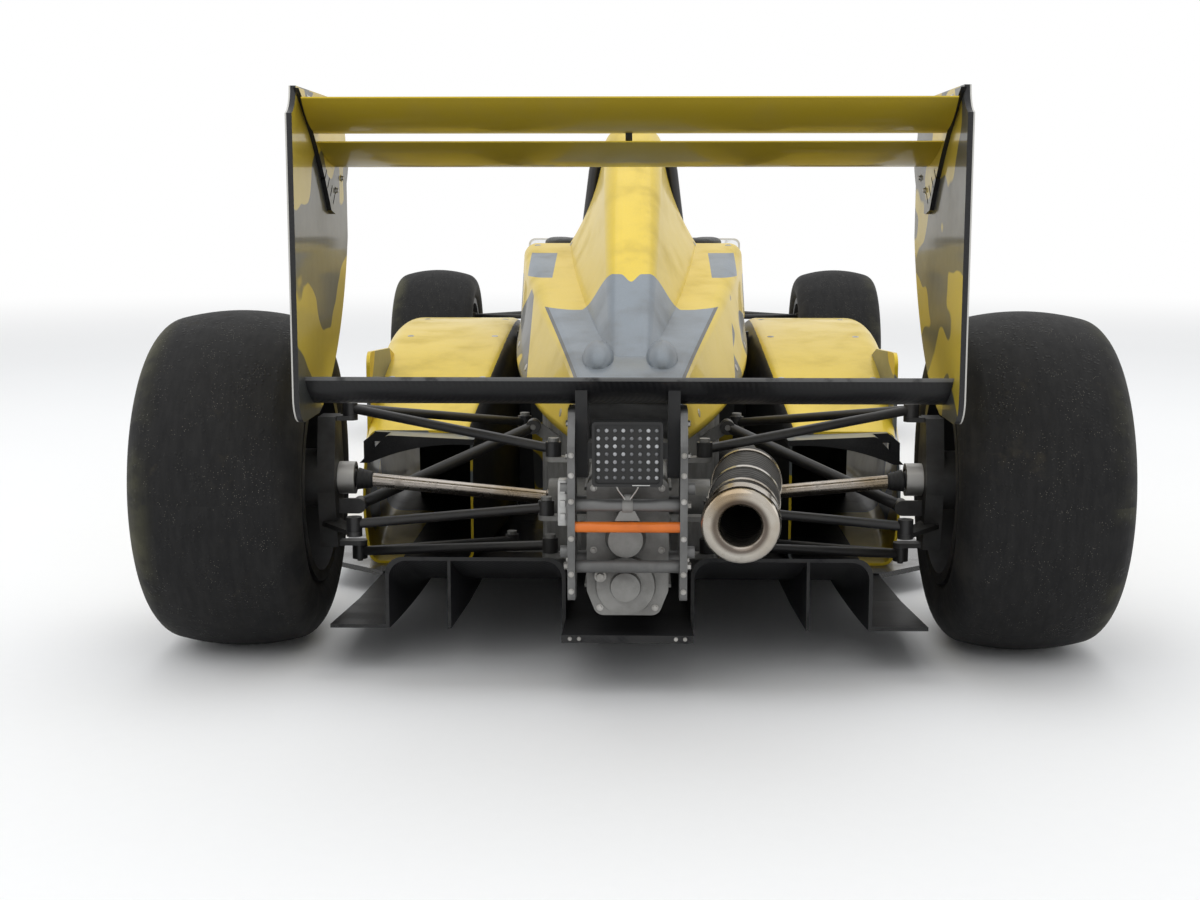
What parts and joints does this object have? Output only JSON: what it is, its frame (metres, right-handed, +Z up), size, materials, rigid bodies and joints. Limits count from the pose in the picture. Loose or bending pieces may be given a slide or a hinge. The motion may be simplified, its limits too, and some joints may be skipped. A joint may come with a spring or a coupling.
{
  "type": "open wheel racing car",
  "caption": "Single-seat open wheel racing car with front and rear wings, sidepods, diffuser, wishbone suspension, steered front wheels and turning slick tyres.",
  "frame": {"origin": "on the ground under the middle of the car's length and width", "axes": "+X to the car's right, +Y forward, +Z up"},
  "size_m": [1.5982, 4.16, 0.9249],
  "materials": {
    "tyre_rubber": "worn slick rubber",
    "wheel_alloy": "dark satin",
    "hub_steel": "machined",
    "upright_alloy": "machined",
    "body_yellow": "gloss lacquer",
    "carbon": "lacquered carbon fibre",
    "rod_black": "satin",
    "cast_alloy": "cast",
    "plate_alloy": "machined",
    "shaft_steel": "heat tinted",
    "exhaust_steel": "heat tinted",
    "bar_orange": "gloss",
    "lamp_black": "satin",
    "core_alloy": "matt black",
    "pad_black": "matt",
    "mirror_white": "gloss lacquer"
  },
  "bodies": {
    "chassis": {"upright_rear_left": "upright_alloy", "upright_rear_right": "upright_alloy", "monocoque": "body_yellow", "nose_cone": "body_yellow", "engine_cover": "body_yellow", "sidepod_left": "body_yellow", "sidepod_right": "body_yellow", "rear_wing_main": "body_yellow", "rear_wing_flap": "body_yellow", "front_wing_main": "body_yellow", "front_wing_flaps": "body_yellow", "floor": "carbon", "diffuser": "carbon", "beam_wing": "carbon", "rear_endplate_left": "carbon", "rear_endplate_right": "carbon", "front_endplate_left": "carbon", "front_endplate_right": "carbon", "seat": "carbon", "rear_suspension_rods": "rod_black", "front_suspension_rods": "rod_black", "wing_posts": "rod_black", "roll_hoop": "rod_black", "gearbox": "cast_alloy", "engine_block": "cast_alloy", "gearbox_plates": "plate_alloy", "exhaust": "exhaust_steel", "jacking_bar": "bar_orange", "rain_light": "lamp_black", "radiator_left": "core_alloy", "radiator_right": "core_alloy", "headrest": "pad_black", "mirrors": "mirror_white"},
    "knuckle_front_left": {"upright_front_left": "upright_alloy"},
    "knuckle_front_right": {"upright_front_right": "upright_alloy"},
    "wheel_front_left": {"tyre_front_left": "tyre_rubber", "rim_front_left": "wheel_alloy", "hub_front_left": "hub_steel"},
    "wheel_front_right": {"tyre_front_right": "tyre_rubber", "rim_front_right": "wheel_alloy", "hub_front_right": "hub_steel"},
    "wheel_rear_left": {"tyre_rear_left": "tyre_rubber", "rim_rear_left": "wheel_alloy", "hub_rear_left": "hub_steel"},
    "wheel_rear_right": {"tyre_rear_right": "tyre_rubber", "rim_rear_right": "wheel_alloy", "hub_rear_right": "hub_steel"},
    "driveshaft_left": {"driveshaft_left": "shaft_steel"},
    "driveshaft_right": {"driveshaft_right": "shaft_steel"},
    "steering_rack": {"steering_rack": "plate_alloy"},
    "steering_wheel": {"steering_wheel": "lamp_black"}
  },
  "joints": [
    {"name": "steer_front_left", "type": "hinge", "parent": "chassis", "child": "knuckle_front_left", "pos_m": [-0.545, 1.12, 0.27], "axis": [0, 0, 1], "range_deg": [-18, 18]},
    {"name": "steer_front_right", "type": "hinge", "parent": "chassis", "child": "knuckle_front_right", "pos_m": [0.545, 1.12, 0.27], "axis": [0, 0, 1], "range_deg": [-18, 18]},
    {"name": "rack_slide", "type": "slide", "parent": "chassis", "child": "steering_rack", "axis": [1, 0, 0], "range_m": [-0.0248, 0.0248]},
    {"name": "steering_wheel_turn", "type": "hinge", "parent": "chassis", "child": "steering_wheel", "pos_m": [0, 0.06, 0.56], "axis": [0, -0.9185, 0.3954], "range_deg": [-181, 181]},
    {"name": "wheel_front_left_spin", "type": "hinge", "parent": "knuckle_front_left", "child": "wheel_front_left", "pos_m": [-0.659, 1.12, 0.27], "axis": [1, 0, 0], "continuous": true},
    {"name": "wheel_rear_left_spin", "type": "hinge", "parent": "chassis", "child": "wheel_rear_left", "pos_m": [-0.661, -1.63, 0.2875], "axis": [1, 0, 0], "continuous": true},
    {"name": "driveshaft_left_spin", "type": "hinge", "parent": "chassis", "child": "driveshaft_left", "pos_m": [-0.485, -1.63, 0.2875], "axis": [0.9954, 0, -0.0962], "continuous": true},
    {"name": "wheel_front_right_spin", "type": "hinge", "parent": "knuckle_front_right", "child": "wheel_front_right", "pos_m": [0.659, 1.12, 0.27], "axis": [1, 0, 0], "continuous": true},
    {"name": "wheel_rear_right_spin", "type": "hinge", "parent": "chassis", "child": "wheel_rear_right", "pos_m": [0.661, -1.63, 0.2875], "axis": [1, 0, 0], "continuous": true},
    {"name": "driveshaft_right_spin", "type": "hinge", "parent": "chassis", "child": "driveshaft_right", "pos_m": [0.485, -1.63, 0.2875], "axis": [0.9954, 0, 0.0962], "continuous": true}
  ],
  "couplings": [
    {"joint": "steer_front_right", "follows": "steer_front_left", "ratio": 1},
    {"joint": "rack_slide", "follows": "steer_front_left", "m_per_rad": -0.0787},
    {"joint": "steering_wheel_turn", "follows": "steer_front_left", "ratio": 10},
    {"joint": "driveshaft_left_spin", "follows": "wheel_rear_left_spin", "ratio": 1},
    {"joint": "driveshaft_right_spin", "follows": "wheel_rear_right_spin", "ratio": 1}
  ]
}
